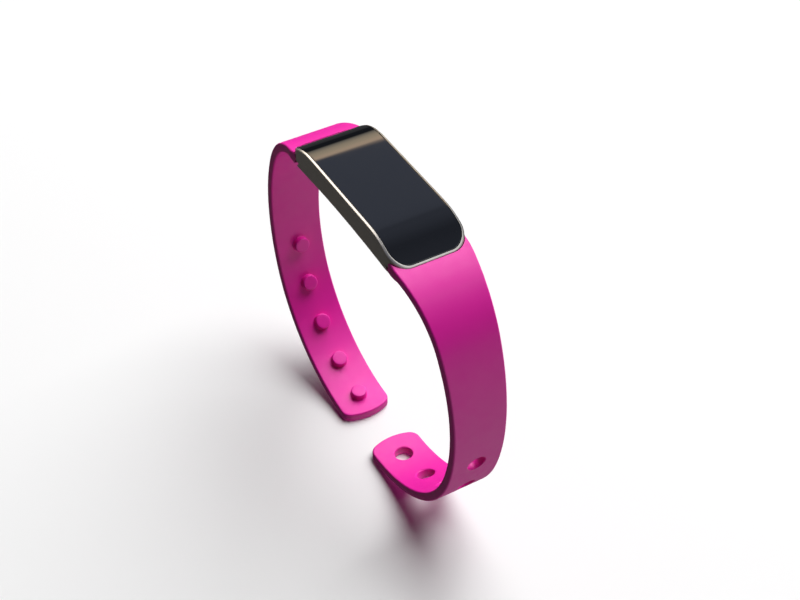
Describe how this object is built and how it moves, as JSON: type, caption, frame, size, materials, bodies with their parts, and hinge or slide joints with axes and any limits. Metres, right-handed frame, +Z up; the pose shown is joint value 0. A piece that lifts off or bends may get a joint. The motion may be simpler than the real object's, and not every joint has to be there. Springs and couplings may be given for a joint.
{
  "type": "fitness tracker band",
  "caption": "Slim fitness tracker: a curved metal and glass module on two silicone straps that hang on spring bars and close with pegs in holes",
  "frame": {"origin": "on the ground under the middle of the loop, where the band stands on the lower curves of its straps", "axes": "X runs along the module with the holed strap at +X, Y runs across the strap, Z up out of the display glass"},
  "size_m": [0.081, 0.0168, 0.0729],
  "materials": {
    "case_metal": "satin warm grey anodised metal with a bright polished rim",
    "cover_glass": "glossy, black behind",
    "black_adhesive": "black adhesive ring",
    "black_plastic": "fine satin moulding",
    "seal_rubber": "soft silicone ring",
    "screw_steel": "ground pin",
    "contact_gold": "gold plated",
    "natural_plastic": "unpigmented moulding",
    "frame_plastic": "glass filled moulding",
    "film": "clear brown film",
    "display_black": "dark display glass",
    "foam": "foam tape",
    "flex_amber": "amber ribbon",
    "board": "coated circuit board",
    "chip_black": "moulded chip body",
    "tinned_steel": "pressed plate",
    "ceramic": "white ceramic",
    "ceramic_tan": "tan ceramic blocks",
    "battery_foil": "laminated foil pouch",
    "magnet": "sintered magnet",
    "rotor_weight": "heavy sintered weight",
    "lead_red": "enamelled wire",
    "silicone": "satin magenta silicone",
    "bar_steel": "turned steel",
    "spring_steel": "drawn wire"
  },
  "bodies": {
    "module": {"case_frame": "case_metal", "glass_cover": "cover_glass", "glass_seal": "black_adhesive", "back_cover": "black_plastic", "back_seal": "seal_rubber", "back_screws": "screw_steel", "charge_contacts": "contact_gold", "contact_sleeves": "natural_plastic", "contact_springs": "contact_gold", "inner_frame": "frame_plastic", "touch_film": "film", "display_panel": "display_black", "display_tape": "foam", "display_flex": "flex_amber", "display_connector": "natural_plastic", "main_board": "board", "processor_chip": "chip_black", "radio_shield": "tinned_steel", "memory_chip": "chip_black", "motion_sensor": "chip_black", "clock_crystal": "tinned_steel", "chip_antenna": "ceramic", "small_parts": "ceramic_tan", "battery_cell": "battery_foil", "battery_tabs": "tinned_steel", "battery_tape": "foam", "motor_can": "tinned_steel", "motor_base": "tinned_steel", "motor_magnet": "magnet", "motor_shaft": "screw_steel", "motor_leads": "lead_red"},
    "peg_strap": {"peg_strap": "silicone", "peg_bar_tube": "bar_steel", "peg_bar_spring": "spring_steel"},
    "hole_strap": {"hole_strap": "silicone", "hole_bar_tube": "bar_steel", "hole_bar_spring": "spring_steel"},
    "vibration_rotor": {"motor_rotor": "rotor_weight"},
    "peg_bar_pin_near": {"peg_bar_tip_near": "bar_steel"},
    "peg_bar_pin_far": {"peg_bar_tip_far": "bar_steel"},
    "hole_bar_pin_near": {"hole_bar_tip_near": "bar_steel"},
    "hole_bar_pin_far": {"hole_bar_tip_far": "bar_steel"}
  },
  "joints": [
    {"name": "peg_strap_hinge", "type": "hinge", "parent": "module", "child": "peg_strap", "pos_m": [-0.016, 0, 0.0672], "axis": [0, -1, 0], "range_deg": [-2.5, 4.7]},
    {"name": "hole_strap_hinge", "type": "hinge", "parent": "module", "child": "hole_strap", "pos_m": [0.016, 0, 0.0672], "axis": [0, 1, 0], "range_deg": [-2.5, 13.9]},
    {"name": "peg_bar_pin_near_slide", "type": "slide", "parent": "peg_strap", "child": "peg_bar_pin_near", "axis": [0, 1, 0], "range_m": [0, 0.0008], "stiffness_N_per_m": 60, "springref_m": -0.0004},
    {"name": "peg_bar_pin_far_slide", "type": "slide", "parent": "peg_strap", "child": "peg_bar_pin_far", "axis": [0, -1, 0], "range_m": [0, 0.0008], "stiffness_N_per_m": 60, "springref_m": -0.0004},
    {"name": "hole_bar_pin_near_slide", "type": "slide", "parent": "hole_strap", "child": "hole_bar_pin_near", "axis": [0, 1, 0], "range_m": [0, 0.0008], "stiffness_N_per_m": 60, "springref_m": -0.0004},
    {"name": "hole_bar_pin_far_slide", "type": "slide", "parent": "hole_strap", "child": "hole_bar_pin_far", "axis": [0, -1, 0], "range_m": [0, 0.0008], "stiffness_N_per_m": 60, "springref_m": -0.0004},
    {"name": "vibration_spin", "type": "hinge", "parent": "module", "child": "vibration_rotor", "pos_m": [0.0096, 0, 0.0686], "axis": [0, 0, 1], "continuous": true}
  ]
}
